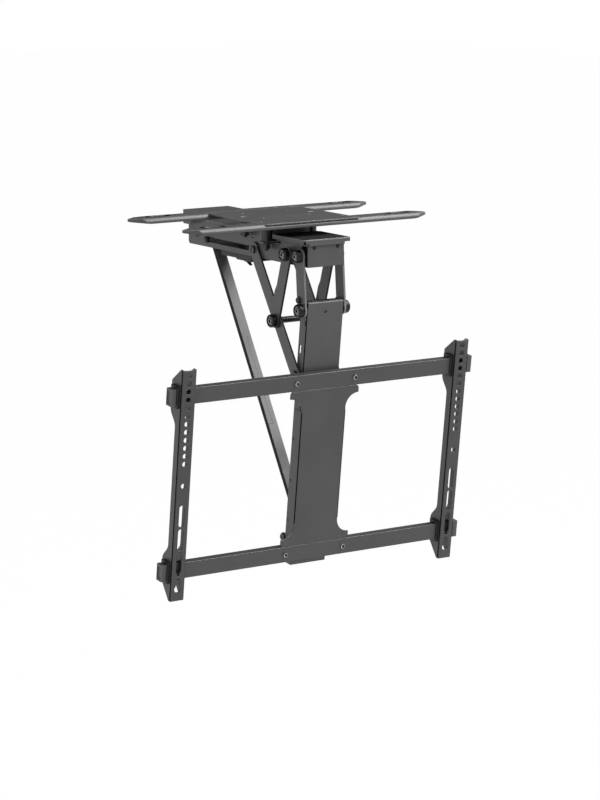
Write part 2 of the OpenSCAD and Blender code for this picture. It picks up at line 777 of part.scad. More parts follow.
module bar_end_caps() {
    color(black) on_frame() for (v = bar_v, side = [-1, 1]) translate([side * (bar_l - cap_l) / 2, 0, 0]) difference() {
        slab([-cap_l / 2, cap_l / 2], [bar_in - over, face_in + over], [v - bar_h / 2 - over, v + bar_h / 2 + over]);
        translate([side * cap_l / 2, 0, 0])
            slab([-over * 2, over * 2], [bar_in + over, face_in - over], [v - bar_h * 0.4, v + bar_h * 0.4]);
    }
}
module bar_screws() {
    color(black) on_frame() for (v = bar_v, x = [-1, 1]) translate([x * bar_screw_x, -face_in, -v]) {
        rotate([90, 0, 0]) cylinder(d = screw_head, h = sheet);
        rotate([-90, 0, 0]) cylinder(d = screw_head / 2 - 2 * fit, h = sheet);
    }
}

// TV brackets. Holes are placed from the top end or up from the lower end.
first_hole = 11;
single_up = 220;
slot_up_top = 162.5;
slot_up_mid = 117.5;
slot_up_low = 72.5;
slot_long = 41;
small_up = 50.5;
drop_up = 22.5;
drop_neck_up = 32.5;
lobe_half_top = 26.5;
lobe_half_low = 20.5;
lobe_fade = 30;
fade_steps = 6;
top_sag = 1.6;
function fade_points(start, from, to) =
    [for (k = [0:fade_steps])
        [from + (to - from) * (1 - cos(180 * k / fade_steps)) / 2, -start - lobe_fade * k / fade_steps]];
module hook_side() {
    top = bar_v[0];
    low = bar_v[1];
    polygon(concat(
        [[sheet, 0], [hook_d * 0.4, 0], [lobe_d, lobe_half_top - top]],
        fade_points(top + lobe_half_top, lobe_d, hook_d),
        fade_points(low - lobe_half_low - lobe_fade, hook_d, lobe_d),
        [[lobe_d, -low - lobe_half_low], [hook_d * 0.4, -hook_l], [sheet, -hook_l]]
    ));
}
module hook_holes() {
    for (k = [0:11]) translate([0, -first_hole - k * hole_step]) circle(d = hole_d);
    translate([0, single_up - hook_l]) circle(d = hole_d);
    for (up = [slot_up_top, slot_up_mid, slot_up_low])
        translate([0, up - hook_l]) rotate(90) slot2d(slot_long, hole_d * 1.1);
    translate([0, small_up - hook_l]) circle(d = hole_d * 0.6);
    translate([0, drop_up - hook_l]) circle(d = hole_d * 1.35);
    translate([0, drop_neck_up - hook_l]) rotate(90) slot2d(slot_long / 2, hole_d * 0.8);
}
module bracket(side) {
    half = hook_w / 2;
    color(steel) on_frame() translate([side * hook_x, 0, 0]) difference() {
        union() {
            faced([-sheet, 0]) translate([-half, -hook_l]) difference() {
                square([hook_w, hook_l]);
                sag_r = (half * half + top_sag * top_sag) / (2 * top_sag);
                translate([half, hook_l + sag_r - top_sag]) circle(r = sag_r);
            }
            for (s = [-1, 1]) sided(s, [half - sheet, half]) hook_side();
        }
        faced([-sheet - over, over]) hook_holes();
        for (v = bar_v) slab([-hook_w, hook_w], [bar_in - run_gap, face_in + run_gap],
            [v - bar_h / 2 - run_gap, v + bar_h / 2 + run_gap]);
    }
}
clip_t = 5.5;
clip_rib = 2.4;
module bracket_clips(side) {
    half = hook_w / 2;
    color(black) on_frame() translate([side * hook_x - half - clip_t, 0, 0]) for (v = bar_v) difference() {
        union() {
            slab([0, clip_t], [bar_in - clip_t, face_in + clip_rib], [v - bar_h / 2 - clip_t, v + bar_h / 2 + clip_t]);
            for (k = [0:3]) slab([-clip_rib / 2, 0], [bar_in - clip_rib + 2 * k * clip_rib, bar_in + 2 * k * clip_rib],
                [v - bar_h / 2, v + bar_h / 2]);
        }
        slab([-clip_t, clip_t * 2], [bar_in - run_gap, face_in + run_gap],
            [v - bar_h / 2 - run_gap, v + bar_h / 2 + run_gap]);
    }
}
lock_d = 5;
module bracket_screw(side) {
    color(black) on_frame() translate([side * hook_x, lobe_d * 0.6, -bar_v[1] - bar_h / 2 - lock_d * 0.8]) {
        translate([-hook_w / 2 + sheet, 0, 0]) rotate([0, 90, 0]) cylinder(d = lock_d, h = hook_w - 2 * sheet);
    }
}

ceiling_rail(-1);  // ceiling_rail_front
ceiling_rail(1);  // ceiling_rail_rear
ceiling_plate();
rail_bolts();
hanger_bolts();
hanger_nuts();
ceiling_spacer();
hanger_strap(-1);  // hanger_strap_front
hanger_strap(1);  // hanger_strap_rear
housing_shell();
front_wall();
front_cover();
cover_screws();
cable_tray();
motor();
gearbox();
screw_bearings();
limit_switches();
control_board();
power_inlet();
short_link_pins();
brace_top_pin();
drive_screw();
carriage();
carriage_pin();
short_link(-1);  // short_link_left
short_link(1);  // short_link_right
drive_bar(-1);  // drive_bar_left
drive_bar(1);  // drive_bar_right
cross_tube();
drive_bar_pins();
swing_link(-1);  // swing_link_left
swing_link(1);  // swing_link_right
swing_link_caps();
upper_brace();
elbow_pin();
lower_brace();
elbow_heads();
spine();
spine_pins();
stop_bolt();
brace_foot_pin();
middle_plate();
plate_ties();
bar_spacers();
tv_bar(bar_v[0]);  // upper_bar
tv_bar(bar_v[1]);  // lower_bar
bar_end_caps();
bar_screws();
bracket(-1);  // bracket_left
bracket(1);  // bracket_right
bracket_clips(-1);  // bracket_left_clips
bracket_clips(1);  // bracket_right_clips
bracket_screw(-1);  // bracket_left_screw
bracket_screw(1);  // bracket_right_screw
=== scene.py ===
"""A motorised ceiling mount for a television, lowered: finishes, fine detail, light and camera."""
import json
import math

import bpy
import bmesh
from mathutils import Matrix, Vector


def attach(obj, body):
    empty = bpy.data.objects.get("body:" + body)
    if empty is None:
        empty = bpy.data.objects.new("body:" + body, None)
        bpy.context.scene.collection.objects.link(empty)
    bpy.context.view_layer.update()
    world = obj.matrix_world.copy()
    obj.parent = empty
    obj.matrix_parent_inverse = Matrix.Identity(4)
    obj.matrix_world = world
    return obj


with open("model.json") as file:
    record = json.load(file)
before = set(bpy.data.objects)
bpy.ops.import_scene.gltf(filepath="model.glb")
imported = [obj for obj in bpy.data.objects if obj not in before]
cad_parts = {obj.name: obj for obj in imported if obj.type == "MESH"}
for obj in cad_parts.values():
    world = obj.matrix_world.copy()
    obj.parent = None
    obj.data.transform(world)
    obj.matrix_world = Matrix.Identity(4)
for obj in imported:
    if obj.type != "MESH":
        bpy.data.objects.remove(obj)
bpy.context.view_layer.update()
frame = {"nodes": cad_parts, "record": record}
MM = 0.001
SIDES = ((-1, "left"), (1, "right"))

# Camera, fitted to the photograph's straight edges: focal length and image height in pixels,
# turn and climb of the view in degrees, distance and target in metres.
FOCAL_PX, IMAGE_H_PX = 2802.8, 800
VIEW_TURN, VIEW_CLIMB = -33.12, 10.64
VIEW_DISTANCE = 5.23792
VIEW_TARGET = Vector((0.0, -0.07507, -0.34139))
SENSOR_MM = 24.0
FLOOR_Z, FLOOR_SIZE = -1.15, 30.0
# Strength of the world's light from in front and from behind.
WORLD_FRONT, WORLD_BACK = 0.62, 0.12

# All that follows is in millimetres, as the solids have it.
# Pivots, front to back, then height: short links and swing links on the housing, carriage, brace on the
# housing, elbow of the links, drive bars, swing links and brace on the television frame, elbow of the brace.
P1, P2, K0, S0 = (-106.0, -60.0), (-141.0, -60.0), (16.0, -65.0), (231.0, -58.0)
J0, T0, Q0 = (-65.07, -188.22), (-126.8, -282.05), (-148.42, -159.27)
R0, M0 = (-90.46, -594.45), (69.6, -327.34)
# Television frame: its upper front edge and its tilt.
FRAME_Y, FRAME_Z, TILT = -177.75, -240.45, math.radians(7.0)
# Spine: half width, front face, lines at its upper edge, small hole.
SPINE_HALF, SPINE_BACK, SPINE_TOP, PEEP_DOWN = 38.7, 27.0, -92.5, -75.4
# Fold lines of the middle plate: place across and back, upper and lower end. Flange screws: depth and rows.
FOLD_X, FOLD_BACK, FOLD_TOP, FOLD_LOW = 48.0, 9.9, 113.0, 325.0
FLANGE_BACK, FLANGE_ROWS = 32.5, (166.5, 247.0, 325.0)
# Screws of the television rails: place across and back, rows. Brackets: place across, half width, length.
SCREW_X, SCREW_BACK, SCREW_ROWS = 64.0, 6.5, (("upper", 52.0), ("lower", 384.0))
HOOK_X, HOOK_HALF, HOOK_L = 300.0, 14.0, 437.5
# Housing: half width, upper face, rear end, buffers of the carriage slots. Bolts on the swing links.
HOUSE_HALF, HOUSE_TOP, HOUSE_REAR, BUFFER_Y = 39.4, -29.0, 260.0, 188.0
BOLT_X, BOLT_Y, BOLT_Z = 45.0, -141.4, -141.1
# Front cover: front face, half width, height of the painted highlight strip at its upper edge, notch with a
# painted shade strip. Painted shadow strips on the housing's sides at its front corners.
COVER_FRONT, COVER_HALF, COVER_EDGE_Z = -165.0, 51.0, -29.6
NOTCH_X, NOTCH_TOP, NOTCH_LOW = -47.9, -31.2, -36.6
SHADOW_STRIP_Y, SHADOW_STRIP_TOP, SHADOW_STRIP_LOW = -151.2, -41.0, -79.2
# Ceiling slots: place across and front to back. Pads about the spacer under the plate: half length.
SLOT_X, SLOT_Y, SPACER_HALF = 203.0, 98.7, 41.0
# How far a line stands proud of its face.
PROUD = 0.05
# Directions along X, Y and Z.
ACROSS, ALONG, UP = (1, 0, 0), (0, 1, 0), (0, 0, 1)


def on_frame(x, back, down):
    """A point of the television frame, in metres: across, back from the screen, down from its top."""
    y = FRAME_Y + down * math.sin(TILT) + back * math.cos(TILT)
    z = FRAME_Z - down * math.cos(TILT) + back * math.sin(TILT)
    return point(x, y, z)


def point(x, y, z):
    """A point given in millimetres, in metres."""
    return Vector((x, y, z)) * MM


def frame_front():
    """The direction that the television frame faces."""
    return on_frame(0.0, 0.0, 0.0) - on_frame(0.0, 1.0, 0.0)


def make_camera():
    turn, climb = math.radians(VIEW_TURN), math.radians(VIEW_CLIMB)
    back = Vector((math.sin(turn) * math.cos(climb), -math.cos(turn) * math.cos(climb), math.sin(climb)))
    data = bpy.data.cameras.new("camera")
    data.sensor_fit = "VERTICAL"
    data.sensor_height = SENSOR_MM
    data.lens = FOCAL_PX * SENSOR_MM / IMAGE_H_PX
    data.clip_end = 60.0
    camera = bpy.data.objects.new("camera", data)
    camera.location = VIEW_TARGET + back * VIEW_DISTANCE
    camera.rotation_euler = back.to_track_quat("Z", "Y").to_euler()
    bpy.context.collection.objects.link(camera)
    bpy.context.scene.camera = camera


class Nodes:
    """Short calls for building a material's node tree."""

    def __init__(self, name):
        self.material = bpy.data.materials.new(name)
        self.material.use_nodes = True
        self.tree = self.material.node_tree
        self.shader = self.tree.nodes["Principled BSDF"]
        self.place = self.add("ShaderNodeTexCoord").outputs["Object"]

    def add(self, kind, **values):
        node = self.tree.nodes.new(kind)
        for key, value in values.items():
            setattr(node, key, value)
        return node

    def join(self, a, b):
        self.tree.links.new(a, b)

    def noise(self, scale, detail=3.0, rough=0.55):
        node = self.add("ShaderNodeTexNoise")
        node.inputs["Scale"].default_value = scale
        node.inputs["Detail"].default_value = detail
        node.inputs["Roughness"].default_value = rough
        self.join(self.place, node.inputs["Vector"])
        return node.outputs["Fac"]

    def ramp(self, value, stops):
        node = self.add("ShaderNodeValToRGB")
        while len(node.color_ramp.elements) < len(stops):
            node.color_ramp.elements.new(0.5)
        for element, (at, colour) in zip(node.color_ramp.elements, stops):
            element.position = at
            element.color = (*colour, 1.0) if len(colour) == 3 else colour
        self.join(value, node.inputs["Fac"])
        return node.outputs["Color"]

    def mix(self, factor, a, b):
        node = self.add("ShaderNodeMix", data_type="RGBA")
        for value, socket in ((factor, node.inputs[0]), (a, node.inputs[6]), (b, node.inputs[7])):
            if hasattr(value, "links"):
                self.join(value, socket)
            elif isinstance(value, tuple):
                socket.default_value = (*value, 1.0)
            else:
                socket.default_value = value
        return node.outputs[2]

    def spread(self, value, low, high):
        node = self.add("ShaderNodeMapRange")
        self.join(value, node.inputs["Value"])
        node.inputs["To Min"].default_value = low
        node.inputs["To Max"].default_value = high
        return node.outputs["Result"]

    def larger(self, a, b):
        node = self.add("ShaderNodeMath", operation="MAXIMUM")
        self.join(a, node.inputs[0])
        self.join(b, node.inputs[1])
        return node.outputs[0]

    def edges(self, radius):
        """A mask that is 1 on sharp outer edges, and the softened normal that goes with it."""
        bevel = self.add("ShaderNodeBevel", samples=6)
        bevel.inputs["Radius"].default_value = radius
        flat = self.add("ShaderNodeNewGeometry")
        dot = self.add("ShaderNodeVectorMath", operation="DOT_PRODUCT")
        self.join(bevel.outputs["Normal"], dot.inputs[0])
        self.join(flat.outputs["Normal"], dot.inputs[1])
        mask = self.add("ShaderNodeMapRange")
        mask.inputs["From Min"].default_value = 0.995
        mask.inputs["From Max"].default_value = 0.86
        self.join(dot.outputs["Value"], mask.inputs["Value"])
        return mask.outputs["Result"], bevel.outputs["Normal"]

    def finish(self, colour, rough, bump=None, bump_size=0.0001, normal=None, metallic=0.0):
        self.join(colour, self.shader.inputs["Base Color"])
        self.join(rough, self.shader.inputs["Roughness"])
        self.shader.inputs["Metallic"].default_value = metallic
        if bump is not None:
            node = self.add("ShaderNodeBump")
            node.inputs["Strength"].default_value = 1.0
            node.inputs["Distance"].default_value = bump_size
            self.join(bump, node.inputs["Height"])
            if normal is not None:
                self.join(normal, node.inputs["Normal"])
            self.join(node.outputs["Normal"], self.shader.inputs["Normal"])
        elif normal is not None:
            self.join(normal, self.shader.inputs["Normal"])
        return self.material


def coated_metal(name, base, rough, line=(0.014, 0.014, 0.014), edge_highlight=(0.5, 0.5, 0.505), painted_faces=None,
                 shine=0.5, rim=0.0015, painted_face_colour=(0.006, 0.006, 0.006), face_rough=0.85):
    """Powder-coated sheet: fine orange peel, faint clouds; sharp edges rim metres wide are painted dark as
    shade where they face down or sideways and pale as a highlight where they face up. An argument picks cut
    edges ("rims"), the faces to the sides ("sides") or the upper faces ("tops"), which get a painted face
    colour (painted shade when dark, painted highlight when pale) and their own roughness."""
    n = Nodes(name)
    n.shader.inputs["Specular IOR Level"].default_value = shine
    cloud = n.noise(9.0, 4.0)
    peel = n.noise(1400.0, 2.0)
    dark = tuple(c * 0.92 for c in base)
    light = tuple(c * 1.08 for c in base)
    body = n.ramp(cloud, [(0.35, dark), (0.65, light)])
    finish = n.spread(peel, rough - 0.05, rough + 0.05)
    mask, soft = n.edges(rim)
    to_object = {"vector_type": "NORMAL", "convert_from": "WORLD", "convert_to": "OBJECT"}
    turn = n.add("ShaderNodeVectorTransform", **to_object)
    n.join(soft, turn.inputs[0])
    split = n.add("ShaderNodeSeparateXYZ")
    n.join(turn.outputs[0], split.inputs[0])
    rise = n.add("ShaderNodeMapRange")
    rise.inputs["From Min"].default_value = 0.15
    rise.inputs["From Max"].default_value = 0.6
    n.join(split.outputs["Z"], rise.inputs["Value"])
    # The picked faces take a painted colour: painted shade when dark, painted highlight when pale.
    if painted_faces:
        flat = n.add("ShaderNodeVectorTransform", **to_object)
        n.join(n.add("ShaderNodeNewGeometry").outputs["Normal"], flat.inputs[0])
        parts = n.add("ShaderNodeSeparateXYZ")
        n.join(flat.outputs[0], parts.inputs[0])
        size = n.add("ShaderNodeMath", operation="ABSOLUTE")
        n.join(parts.outputs["Z" if painted_faces == "tops" else "X"], size.inputs[0])
        pick = n.add("ShaderNodeMath", operation="LESS_THAN" if painted_faces == "rims" else "GREATER_THAN")
        pick.inputs[1].default_value = 0.6
        n.join(size.outputs[0], pick.inputs[0])
        body = n.mix(pick.outputs[0], body, painted_face_colour)
        finish = n.larger(finish, n.spread(pick.outputs[0], 0.0, face_rough))
    # Sharp edges: painted shade where they face down or sideways, painted highlight where they face up.
    colour = n.mix(mask, body, n.mix(rise.outputs["Result"], line, edge_highlight))
    return n.finish(colour, finish, peel, 0.00004, soft)


def moulded(name, base, edge, rough, grain=2200.0, shine=0.5):
    """Moulded plastic: spark-eroded grain, slight colour drift; sharp edges take the edge colour, a painted
    highlight where it is paler than the body.
    """
    n = Nodes(name)
    n.shader.inputs["Specular IOR Level"].default_value = shine
    drift = n.noise(25.0)
    texture = n.noise(grain, 1.0)
    body = n.ramp(drift, [(0.3, tuple(c * 0.9 for c in base)), (0.7, tuple(c * 1.1 for c in base))])
    mask, soft = n.edges(0.0006)
    # Sharp edges take the edge colour: painted highlight.
    colour = n.mix(mask, body, edge)
    return n.finish(colour, n.spread(texture, rough - 0.05, rough + 0.07), texture, 0.00003, soft)


def plated(name, base, rough):
    """Zinc-plated steel: streaked by turning, with duller patches."""
    n = Nodes(name)
    patch = n.noise(60.0, 4.0)
    streak = n.noise(700.0, 2.0)
    body = n.ramp(patch, [(0.35, tuple(c * 0.8 for c in base)), (0.7, base)])
    soft = n.edges(0.0004)[1]
    return n.finish(body, n.spread(streak, rough - 0.08, rough + 0.12), streak, 0.00002, soft, metallic=1.0)


def add_piece(name, mesh, material, body, smooth=True):
    obj = bpy.data.objects.new(name, mesh)
    bpy.context.collection.objects.link(obj)
    mesh.materials.append(MATERIALS[material])
    if smooth:
        for face in mesh.polygons:
            face.use_smooth = True
    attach(obj, body)
    return obj


def close_mesh(bm, name):
    """The finished mesh of bm, its faces turned outwards."""
    bmesh.ops.recalc_face_normals(bm, faces=bm.faces)
    mesh = bpy.data.meshes.new(name)
    bm.to_mesh(mesh)
    bm.free()
    return mesh


def join_rings(bm, rings):
    """Faces between each ring of points and the next, which has as many points."""
    for low, high in zip(rings, rings[1:]):
        count = len(low)
        for k in range(count):
            bm.faces.new((low[k], low[(k + 1) % count], high[(k + 1) % count], high[k]))


def lathe(name, profile, place, axis, material, body, turns=40):
    """A turned piece: profile of (radius, height) in mm about an axis through place, in metres."""
    bm = bmesh.new()
    rings = []
    for radius, height in profile:
        if radius < 1e-6:
            rings.append([bm.verts.new((0.0, 0.0, height * MM))])
            continue
        ring = []
        for k in range(turns):
            a = 2.0 * math.pi * k / turns
            ring.append(bm.verts.new((radius * MM * math.cos(a), radius * MM * math.sin(a), height * MM)))
        rings.append(ring)
    for low, high in zip(rings, rings[1:]):
        for k in range(turns):
            after = (k + 1) % turns
            if len(high) == 1:
                bm.faces.new((low[k], low[after], high[0]))
            elif len(low) == 1:
                bm.faces.new((low[0], high[after], high[k]))
            else:
                bm.faces.new((low[k], low[after], high[after], high[k]))
    turn = Vector(axis).normalized().to_track_quat("Z", "Y").to_matrix().to_4x4()
    bm.transform(Matrix.Translation(place) @ turn)
    mesh = close_mesh(bm, name)
    obj = add_piece(name, mesh, material, body)
    mesh.set_sharp_from_angle(angle=math.radians(35.0))
    return obj


def bar_between(name, a, b, side, width, thick, material, body, bevel=0.0):
    """A flat strip between the points a and b, its width in mm along side and its thickness across that."""
    along = (b - a).normalized()
    side = Vector(side).normalized()
    out = along.cross(side).normalized()
    half_side, half_out = side * (width * MM / 2), out * (thick * MM / 2)
    bm = bmesh.new()
    corners = []
    for at in (a, b):
        for s, t in ((-1, -1), (1, -1), (1, 1), (-1, 1)):
            corners.append(bm.verts.new(at + half_side * s + half_out * t))
    for quad in ((0, 1, 2, 3), (7, 6, 5, 4), (0, 4, 5, 1), (1, 5, 6, 2), (2, 6, 7, 3), (3, 7, 4, 0)):
        bm.faces.new([corners[k] for k in quad])
    bmesh.ops.recalc_face_normals(bm, faces=bm.faces)
    if bevel:
        bmesh.ops.bevel(bm, geom=bm.edges[:], offset=bevel * MM, segments=2, affect="EDGES", profile=0.6)
    return add_piece(name, close_mesh(bm, name), material, body, smooth=False)


def make_materials():
    steel = (0.066, 0.066, 0.068)
    return {
        "powder_steel": coated_metal("powder_steel", steel, 0.36),
        # Cut edges of the links near black and dull: painted shade.
        "link_steel": coated_metal("link_steel", steel, 0.36, painted_faces="rims"),
        # Cut edges of the swing links pale and glossy: painted highlight.
        "swing_steel": coated_metal("swing_steel", steel, 0.36, painted_faces="rims", rim=0.0008,
                                    painted_face_colour=(0.17, 0.17, 0.172), face_rough=0.3),
        # Pale strips on upper edges: painted highlight.
        "painted_highlight_edge": coated_metal("painted_highlight_edge", (0.21, 0.21, 0.212), 0.34, line=(0.15, 0.15, 0.15),
                                    rim=0.0004),
        # Side faces of the brace near black and dull: painted shade.
        "brace_steel": coated_metal("brace_steel", steel, 0.34, painted_faces="sides", rim=0.0004),
        "frame_steel": coated_metal("frame_steel", (0.055, 0.055, 0.057), 0.36),
        # A wider edge band: darker painted shade and a dimmer painted highlight.
        "bracket_steel": coated_metal("bracket_steel", (0.048, 0.048, 0.05), 0.36, line=(0.006, 0.006, 0.006),
                                      edge_highlight=(0.2, 0.2, 0.2), rim=0.0028),
        # Upper faces of the cover near black and dull: painted shade from the plate above.
        "cover_steel": coated_metal("cover_steel", (0.1, 0.1, 0.102), 0.4, painted_faces="tops", shine=0.12,
                                     painted_face_colour=(0.015, 0.015, 0.015)),
        "black_fastener": coated_metal("black_fastener", (0.014, 0.014, 0.014), 0.32, edge_highlight=(0.1, 0.1, 0.1)),
        "black_cap": moulded("black_cap", (0.005, 0.005, 0.005), (0.02, 0.02, 0.02), 0.34, shine=0.3),
        "black_plastic": moulded("black_plastic", (0.013, 0.013, 0.013), (0.04, 0.04, 0.04), 0.45),
        "plated_steel": plated("plated_steel", (0.16, 0.16, 0.165), 0.26),
        "carriage_plastic": moulded("carriage_plastic", (0.05, 0.05, 0.05), (0.09, 0.09, 0.09), 0.45),
        "board": moulded("board", (0.02, 0.09, 0.04), (0.05, 0.14, 0.07), 0.35),
        "cast_gearbox": plated("cast_gearbox", (0.4, 0.4, 0.41), 0.45),
        # Pale edges on the end caps: painted highlight.
        "end_cap": moulded("end_cap", (0.07, 0.07, 0.072), (0.25, 0.25, 0.25), 0.4),
        "bolt_head": plated("bolt_head", (0.24, 0.24, 0.245), 0.26),
        # Bright plating on the screw rims: painted highlight on dark screw heads.
        "screw_highlight_rim": plated("screw_highlight_rim", (0.55, 0.55, 0.555), 0.2),
        # Near black without shine: painted shade for creases, gaps, hollows and sockets.
        "recess": moulded("recess", (0.004, 0.004, 0.004), (0.004, 0.004, 0.004), 0.75, shine=0.0),
    }


# Nodes whose look differs from their material slot's.
LOOKS = {"bar_end_caps": "end_cap", "cross_tube": "black_fastener", "front_cover": "cover_steel",
         "cover_screws": "black_cap", "stop_bolt": "powder_steel", "upper_brace": "brace_steel",
         "lower_brace": "brace_steel", "upper_bar": "frame_steel", "lower_bar": "frame_steel",
         "middle_plate": "frame_steel"}
for pair, look in (("short_link", "link_steel"), ("drive_bar", "link_steel"), ("swing_link", "swing_steel"),
                   ("bracket", "bracket_steel")):
    LOOKS[pair + "_left"] = LOOKS[pair + "_right"] = look


def dress_cad(materials):
    slots = {entry["node"]: entry["material_slot"] for entry in frame["record"]["subparts"]}
    for node, obj in frame["nodes"].items():
        obj.data.materials.clear()
        obj.data.materials.append(materials[LOOKS.get(node, slots[node])])


CAP_RING = [(11.9, -8.6), (12.25, -8.2), (12.3, -0.9), (11.9, 0.7), (11.0, 1.7), (9.9, 2.0), (8.7, 1.7),
            (8.1, 0.9), (7.9, 0.1)]
CAP_BOLT = [(7.9, 0.1), (7.7, 0.35), (6.0, 0.35), (5.8, 0.5), (5.7, 1.5), (5.1, 2.1), (3.3, 2.3), (3.0, 2.1)]
CAP_SOCKET = [(3.0, 2.1), (2.8, 0.5), (0.0, 0.5)]


def make_caps():
    """Round pivot caps: a moulded ring about a socket bolt on a dished washer."""
    for tag, (y, z), out, body in (("front", P1, 59.0, "base"), ("elbow", J0, 59.0, "drive_bars"),
                                   ("swing", P2, 53.7, "swing_links"), ("low", Q0, 54.0, "tv_frame")):
        for side, word in SIDES:
            if tag == "swing" and side > 0:
                continue
            place = point(side * out, y, z)
            axis = (side, 0.0, 0.0)
            lathe("cap_ring_%s_%s" % (tag, word), CAP_RING, place, axis, "black_cap", body)
            lathe("cap_bolt_%s_%s" % (tag, word), CAP_BOLT, place, axis, "bolt_head", body)
            # Near-black socket: painted shade in its hollow.
            lathe("cap_socket_%s_%s" % (tag, word), CAP_SOCKET, place, axis, "recess", body, turns=6)


def make_small_heads():
    """Pin heads with a pale rim and a dark centre."""
    spots = [("carriage", K0, 49.0, 7.6, "drive_bars"), ("bar_foot", T0, 49.3, 8.6, "tv_frame"),
             ("brace_foot", R0, 50.5, 6.4, "tv_frame"), ("brace_top", S0, 41.0, 7.1, "base")]
    for tag, (y, z), out, r, body in spots:
        rim = [(r, -1.6), (r, 0.3), (r - 0.5, 0.8), (r - 1.4, 0.9), (r - 2.0, 0.4), (r - 2.2, 0.1)]
        dish = [(r - 2.2, 0.1), (r * 0.35, 0.1), (r * 0.32, 0.5), (0.0, 0.6)]
        for side, word in SIDES:
            place = point(side * out, y, z)
            lathe("head_rim_%s_%s" % (tag, word), rim, place, (side, 0, 0), "plated_steel", body)
            lathe("head_dish_%s_%s" % (tag, word), dish, place, (side, 0, 0), "black_fastener", body)


def make_bar_screws():
    """Pan heads on the television rails."""
    # The bright plated rim stands for the highlight on the dark screw head: painted highlight. The near-black
    # socket is painted shade.
    parts = (("rim", [(4.7, -2.4), (4.8, -0.4), (4.4, 0.7), (3.3, 1.3)], "screw_highlight_rim", 28),
             ("head", [(3.3, 1.3), (3.1, 0.5), (1.9, 0.4), (1.7, 0.2)], "black_fastener", 28),
             ("socket", [(1.7, 0.2), (1.6, -0.6), (0.0, -0.6)], "recess", 6))
    for row, down in SCREW_ROWS:
        for side, word in SIDES:
            place = on_frame(side * SCREW_X, SCREW_BACK, down)
            for part, profile, look, turns in parts:
                name = "bar_screw_%s_%s_%s" % (part, row, word)
                lathe(name, profile, place, frame_front(), look, "tv_frame", turns=turns)


def make_middle_lines():
    """A near-black strip and notch, painted shade of the fold, beside each front corner of the middle plate,
    and the flange screws.
    """
    head = [(2.7, -0.4), (2.7, 0.4), (2.2, 0.9), (1.1, 1.1), (0.9, 0.5), (0.0, 0.5)]
    for side, word in SIDES:
        x = side * FOLD_X
        # Near-black strip and notch at each fold: painted shade of the fold.
        bar_between("fold_line_" + word, on_frame(x, FOLD_BACK, FOLD_TOP), on_frame(x, FOLD_BACK, FOLD_LOW),
                    ALONG, 2.6, 0.9, "recess", "tv_frame")
        bar_between("fold_notch_" + word, on_frame(x, FOLD_BACK + 0.5, FOLD_TOP - 4.0),
                    on_frame(x, FOLD_BACK + 0.5, FOLD_TOP + 1.0), ALONG, 2.4, 0.6, "recess", "tv_frame")
        for k, down in enumerate(FLANGE_ROWS):
            lathe("flange_screw_%s_%d" % (word, k), head, on_frame(x, FLANGE_BACK, down), (side, 0, 0),
                  "black_fastener", "tv_frame", turns=20)


def make_brace_fillers():
    """The blocks that close the two notches of the brace's lap, so it reads as one arm."""
    brace = Vector((0.0, M0[0] - S0[0], M0[1] - S0[1])).normalized()
    across = Vector((0.0, -brace.z, brace.y))
    # Place across in millimetres, then start and end along the brace in metres.
    for word, x, start, end in (("upper", -5.1, 0.3798, 0.4036), ("lower", 5.1, 0.2244, 0.2482)):
        at = point(x, *S0)
        bar_between("lap_block_" + word, at + brace * start, at + brace * end, across, 9.9, 9.7,
                    "brace_steel", word + "_brace")


def make_link_bolts():
    """Hex bolts on washers above the swing links' lower caps, and rubber buffers at the slots' rear ends."""
    washer = [(7.6, -0.2), (7.6, 0.9), (7.1, 1.3), (4.0, 1.3)]
    bolt = [(5.6, 1.2), (5.6, 4.2), (5.0, 5.0), (2.4, 5.2), (2.2, 3.4), (0.0, 3.4)]
    buffer = [(0.0, -0.1), (6.0, -0.1), (6.2, 0.2), (6.2, 5.0), (5.6, 6.0), (4.6, 6.4), (2.0, 6.2),
              (0.0, 6.2)]
    for side, word in SIDES:
        place = point(side * BOLT_X, BOLT_Y, BOLT_Z)
        axis = (side, 0, 0)
        lathe("link_washer_" + word, washer, place, axis, "black_fastener", "swing_links")
        lathe("link_bolt_" + word, bolt, place, axis, "black_fastener", "swing_links", turns=6)
        place = point(side * (HOUSE_HALF - 0.1), BUFFER_Y, K0[1])
        lathe("slot_buffer_" + word, buffer, place, axis, "black_cap", "base")


def make_tray_hook():
    """The little bent hook that hangs from the tray."""
    path = [(105.0, -93.5), (105.0, -99.5), (103.4, -102.6), (99.6, -104.6), (94.6, -107.4)]
    bm = bmesh.new()
    rows = []
    for k, (y, z) in enumerate(path):
        half = 5.0 - 0.5 * k
        thick = 1.5 - 0.12 * k
        rows.append([bm.verts.new(point(dx, y + dy, z)) for dx, dy in
                     ((-half, -thick), (half, -thick), (half, thick), (-half, thick))])
    join_rings(bm, rows)
    bm.faces.new(rows[0][::-1])
    bm.faces.new(rows[-1])
    add_piece("tray_hook", close_mesh(bm, "tray_hook"), "black_plastic", "base")


SLOT_POINTS = 48
# Half length of the straight part, end radius and height of each ring, from the outside in.
SLOT_RINGS = [(16.5, 10.1, -0.35), (16.5, 10.0, PROUD), (13.0, 5.2, PROUD), (12.6, 4.4, -2.0)]


